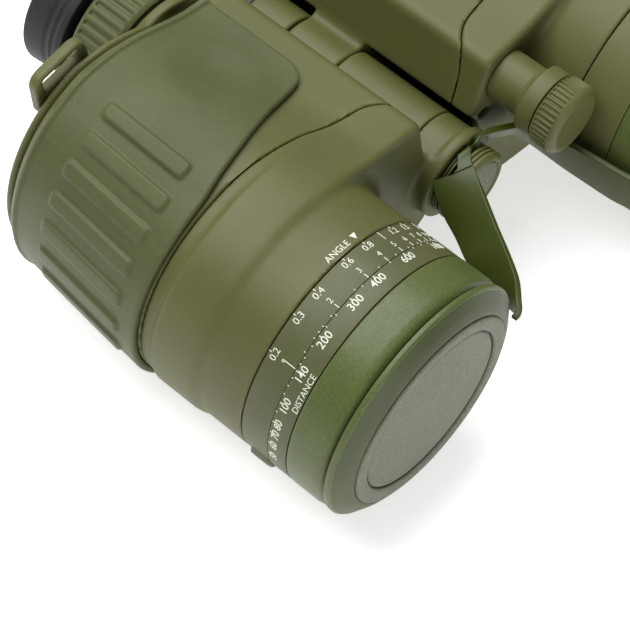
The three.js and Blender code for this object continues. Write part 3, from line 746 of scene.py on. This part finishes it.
# The two long edges of each strap, row by row, from the collar on the hinge to the cap.
TETHER_EDGES = {
    "right": [
        ((-1.9, -11.6, 41.2), (2.9, -11.6, 41.2)), ((-1.9, -11.6, 42.5), (2.9, -11.6, 42.5)),
        ((-1.2, -10.5, 44.1), (3.5, -11.1, 43.8)), ((0.5, -8.9, 44), (5.1, -9.8, 43.3)),
        ((2.2, -7.3, 43.9), (6.2, -8.8, 42.8)), ((2.9, -6.3, 44.1), (7.4, -8.8, 42)),
        ((3.3, -5.6, 44.2), (10, -11, 39.6)), ((3.9, -4.7, 44.2), (11.7, -11.8, 38.6)),
        ((8.5, 2.3, 44.1), (14.5, -5.5, 34.8)), ((13.4, 10.5, 43.1), (17.3, 1.7, 33.2)),
        ((17.4, 17.1, 43), (20.8, 8.1, 32.9)), ((21.3, 23.4, 42.3), (22.7, 14.3, 32.2)),
        ((23.7, 26.2, 41.8), (24.5, 21.5, 33)), ((26.4, 28.6, 41.1), (26.4, 27.9, 35.4)),
        ((28.4, 30.4, 40.4), (28.4, 30.4, 38.0)), ((30.3, 30.6, 39.6), (30.3, 30.6, 38.4)),
    ],
    "left": [
        ((2.4, -10.75, 41), (5.4, -10.75, 40)), ((2.4, -10.75, 42.7), (5.6, -10.75, 41.6)),
        ((3.2, -10.5, 44.6), (6.4, -10.6, 43.3)), ((6, -10.6, 45), (8.2, -11, 42.7)),
        ((9, -10.4, 44.4), (11.8, -11.9, 38.9)), ((14, -8.9, 42.8), (18.5, -13.4, 31.6)),
        ((18.5, -7.7, 40.6), (24.2, -12, 28.9)), ((21.5, -4, 39.4), (26, -8.4, 27.6)),
        ((23, 0.1, 38.9), (26.8, -3.6, 26.6)), ((25, 6, 38.6), (27.2, 3, 25.8)),
        ((26, 14, 38.8), (27.4, 12, 25.8)), ((26.4, 22, 39.4), (27.4, 21, 26.4)),
        ((27.2, 28, 40), (27.6, 27.6, 28)), ((28.6, 30.5, 40), (28.6, 30.5, 29.6)),
        ((30.3, 30.6, 39.4), (30.3, 30.6, 30.6)),
    ],
}
# The first rows of each strap, over the hinge, are thin; the rest has the full thickness.
THIN_ROWS = {"right": 7, "left": 3}
COLLAR_Y = {"right": -11.6, "left": -10.75}
TETHER_THICK, TETHER_ROOT_THICK, TETHER_CORNER = 1.7, 0.75, 0.3
TETHER_STEPS = 8
# The left strap is two pieces: this row, counted from the collar, is where they meet.
LEFT_SPLIT = 4


def spline(values, steps):
    """Catmull-Rom points through the values, steps to each stretch."""
    values = [Vector(v) for v in values]
    padded = [values[0] * 2 - values[1]] + values + [values[-1] * 2 - values[-2]]
    out = []
    for a, b, c, d in zip(padded, padded[1:], padded[2:], padded[3:]):
        for k in range(steps):
            t = k / steps
            out.append(0.5 * (2 * b + (c - a) * t + (2 * a - 5 * b + 4 * c - d) * t * t
                              + (3 * b - a - 3 * c + d) * t ** 3))
    return out + [values[-1]]


def strap_outline(wide, thick):
    """Corner points of a flat strip's cross-section, its long edges slightly rounded."""
    out = []
    corner = TETHER_CORNER
    for u, v, turn in ((1, 1, 0), (-1, 1, 90), (-1, -1, 180), (1, -1, 270)):
        for k in range(4):
            angle = math.radians(turn + 30 * k)
            out.append((u * (wide / 2 - corner) + corner * math.cos(angle),
                        v * (thick / 2 - corner) + corner * math.sin(angle)))
    return out


def strap_piece(name, side, first, last):
    """The stretch of one strap between two of its rows."""
    rows = TETHER_EDGES[side]
    tops = spline([top for top, _ in rows], TETHER_STEPS)
    lows = spline([low for _, low in rows], TETHER_STEPS)
    points, faces, ring, count = [], [], 16, 0
    for i in range(first * TETHER_STEPS, last * TETHER_STEPS + 1):
        here = (tops[i] + lows[i]) / 2
        before, after = max(i - 1, 0), min(i + 1, len(tops) - 1)
        along = (tops[after] - tops[before]).normalized()
        across = lows[i] - tops[i]
        wide = across.length
        across.normalize()
        out = across.cross(along).normalized()
        grown = ease(i / TETHER_STEPS - THIN_ROWS[side])
        thick = TETHER_ROOT_THICK + (TETHER_THICK - TETHER_ROOT_THICK) * grown
        for u, v in strap_outline(wide, thick):
            points.append(here + across * u + out * v)
        count += 1
    for i in range(count - 1):
        for k in range(ring):
            a, b = i * ring + k, i * ring + (k + 1) % ring
            faces.append((a, b, b + ring, a + ring))
    faces.append(tuple(range(ring))[::-1])
    faces.append(tuple(range((count - 1) * ring, count * ring)))
    if turned_volume(np.array(points), faces) < 0:
        faces = [f[::-1] for f in faces]
    if side == "left":
        faces = [f[::-1] for f in faces]
    piece = new_mesh(name, to_frame([tuple(p) for p in points], side), faces)
    piece.data.materials.append(TETHER)
    return piece


def row_middle(side, row):
    top, low = TETHER_EDGES[side][row]
    return tuple(to_frame([[(a + b) / 2 for a, b in zip(top, low)]], side)[0])


def add_tether(side):
    last = len(TETHER_EDGES[side]) - 1
    if side == "right":
        strip = strap_piece("right_tether_strip", side, 0, last)
        row_middle(side, 1)
        row_middle(side, last - 2)
        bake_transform(strip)
    else:
        root = strap_piece("left_tether_root", side, 0, LEFT_SPLIT)
        row_middle(side, 1)
        row_middle(side, LEFT_SPLIT - 1)
        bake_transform(root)
        strip = strap_piece("left_tether_strip", side, LEFT_SPLIT, last)
        row_middle(side, LEFT_SPLIT + 1)
        row_middle(side, last - 2)
        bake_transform(strip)
    y = COLLAR_Y[side]
    collar = turned(f"{side}_tether_collar", [
        (6.3, y - 0.36), (10.9, y - 0.36), (10.9, y + 0.36), (6.3, y + 0.36),
    ], HINGE, side, 64, 0.2)
    put(collar, f"{side}_half", TETHER, [f"{side}_cap_tether"])


# ---------------------------------------------------------------- hinge hardware

def add_hinge():
    flange = turned("hinge_front_flange", [
        (6.3, -13.25), (12.9, -13.25), (13.1, -13.05), (13.05, -12.7), (12.7, -12.4), (12, -12.3), (6.3, -12.3),
    ], HINGE, "right", 128, 0.3)
    put(flange, "right_half", OLIVE, ["hinge_flange"])
    outline = [(4.9, -9.6), (10.9, -9.6)]
    for foot in (-9.5, -8.2, -6.95):
        outline += [(11.2, foot), (11.25, foot + 0.9), (10.75, foot + 1.0), (10.75, foot + 1.2)]
    outline = outline[:-2] + [(11.1, -5.9), (10.6, -5.45), (9.9, -5.2), (9.2, -5.2), (8.95, -5.5), (8.75, -5.75)]
    knob = turned("tripod_socket_cap", outline + [(0, -5.75), (0, -6.5), (4.9, -6.5)], HINGE, "right", 128, 0.12)
    put(knob, "tripod_cap", OLIVE, ["tripod_cap"])
    face = turned("tripod_cap_face", [(0, -5.8), (8.6, -5.8), (8.6, -5.55), (8.3, -5.4), (0, -5.4)],
                  HINGE, "right", 96, 0.1)
    put(face, "tripod_cap", CAP)
    nut = turned("hinge_rear_nut", [
        (5.4, -89.6), (9.4, -89.6), (9.6, -89.2), (10.9, -89.2), (10.9, -86.4), (5.4, -86.4),
    ], HINGE, "right", 96, 0.3)
    put(nut, "right_half", BLACK, ["hinge_nut"])


# ---------------------------------------------------------------- eyepieces

def add_eyepiece(side):
    half = f"{side}_half"
    ridges = 44

    def knurl(angle, r, y):
        lift = ease(0.5 + 1.6 * math.cos(ridges * angle))
        return r - (1 - lift) * 0.6 if r > 20.2 and -102.6 < y < -92.6 else r
    ring = turned(f"{side}_focus_grip", [
        (17.3, -104.2), (19.6, -104.2), (20.4, -103.4), (20.5, -102.9), (20.5, -102.4), (20.5, -92.8),
        (20.5, -92.3), (20.3, -91.7), (19.6, -91), (17.3, -91),
    ], EYE, side, ridges * 8, 0, knurl)
    put(ring, f"{side}_focus_ring", ARMOUR, [f"{side}_focus_ring"])
    base = turned(f"{side}_eyepiece_tube", [
        (15.3, -103), (17, -103), (17, -89.3), (15.3, -89.3),
    ], EYE, side, 96, 0.3)
    put(base, half, BLACK, [f"{side}_eyepiece_base"])
    barrel = turned(f"{side}_ocular_tube", [
        (12.2, -111), (17.6, -111), (17.6, -107), (15, -107), (15, -93), (12.8, -93), (12.8, -103), (11, -103),
        (11, -104), (12.2, -104),
    ], EYE, side, 96, 0.25)
    put(barrel, f"{side}_ocular", BLACK, [f"{side}_ocular_barrel"])
    cup = turned(f"{side}_eyecup_skin", [
        (14.6, -111.3), (17.9, -111.3), (17.9, -107), (19.5, -107), (19.9, -109), (19.3, -110), (19.9, -111),
        (19.4, -112.2), (20, -113.4), (20.5, -119.2), (20.2, -119.8), (19.2, -120), (17.8, -119.8),
        (16.2, -115.6), (14.7, -113.4),
    ], EYE, side, 96, 0.4)
    put(cup, f"{side}_ocular", EYE_RUBBER, [f"{side}_eyecup"])
    lens = []
    for i in range(9):
        r = 11.9 * i / 8
        lens.append((r, -109.5 + 1.7 * (r / 11.9) ** 2))
    eyelens = turned(f"{side}_eye_lens", lens + [(11.9, -104.4), (0, -104.4)], EYE, side, 64, 0)
    put(eyelens, f"{side}_ocular", GLASS, [f"{side}_eyepiece_lens"])


# ---------------------------------------------------------------- carried-over CAD nodes

def dress_inner_nodes():
    kinds = {"glass": GLASS, "blackened": BLACK, "steel": STEEL, "eyecup_rubber": EYE_RUBBER}
    slots = {part["node"]: part["material_slot"] for part in frame["record"]["subparts"]}
    for name, node in frame["nodes"].items():
        if slots[name] in kinds:
            node.data.materials.clear()
            node.data.materials.append(kinds[slots[name]])


# ---------------------------------------------------------------- stage

# The floor is a light table, so its shadows stay pale.
FLOOR_GLOW = 0.6


def add_stage():
    half = 3.0
    floor = new_mesh("floor", [(-half, -half, 0), (half, -half, 0), (half, half, 0), (-half, half, 0)],
                     [(0, 1, 2, 3)], smooth=False)
    floor.location.z = -0.0006
    material, tree, principled = shader("floor_paint")
    tree.links.new(ramp(tree, noise(tree, 3, 2), [(0.3, (0.86, 0.86, 0.86, 1)), (0.7, (0.9, 0.9, 0.9, 1))]),
                   principled.inputs["Base Color"])
    tree.links.new(spread(tree, noise(tree, 8, 2), 0.75, 0.85), principled.inputs["Roughness"])
    principled.inputs["Emission Color"].default_value = (1, 1, 1, 1)
    principled.inputs["Emission Strength"].default_value = FLOOR_GLOW
    floor.data.materials.append(material)


def add_light(name, size, power, place, target=(0, 0, 0.03)):
    data = bpy.data.lights.new(name, "AREA")
    data.shape = "RECTANGLE"
    data.size, data.size_y = size
    data.energy = power
    lamp = bpy.data.objects.new(name, data)
    bpy.context.scene.collection.objects.link(lamp)
    lamp.location = place
    lamp.rotation_euler = (Vector(target) - Vector(place)).to_track_quat("-Z", "Y").to_euler()


def add_camera():
    data = bpy.data.cameras.new("camera")
    data.sensor_width = 36
    data.lens = 148.6
    camera = bpy.data.objects.new("camera", data)
    bpy.context.scene.collection.objects.link(camera)
    back = Vector((0.471, 0.3356, 0.8158)).normalized()
    up = Vector((-0.586, -0.5722, 0.5737))
    right = up.cross(back).normalized()
    up = back.cross(right)
    turn = Matrix((right, up, back)).transposed().to_4x4()
    place = Vector((374.2, 213.9 + FRAME_Y, 574.4)) / 1000
    camera.matrix_world = Matrix.Translation(place) @ turn
    bpy.context.scene.camera = camera


def add_world():
    world = bpy.data.worlds.new("studio")
    world.use_nodes = True
    world.node_tree.nodes["Background"].inputs["Color"].default_value = (1, 1, 1, 1)
    world.node_tree.nodes["Background"].inputs["Strength"].default_value = 0.3
    bpy.context.scene.world = world
    bpy.context.scene.view_settings.view_transform = "Standard"


add_camera()
add_world()
add_stage()
add_light("key", (1.1, 0.6), 12, (0.0, -0.28, 0.8))
add_light("front", (0.4, 0.3), 2.4, (0.3, 0.9, 0.14))
for side in SIDES:
    add_housing(side)
    add_barrel_front(side)
    add_tether(side)
    add_eyepiece(side)
add_rings()
add_left_ring()
add_lamp()
add_scales()
add_hinge()
dress_inner_nodes()
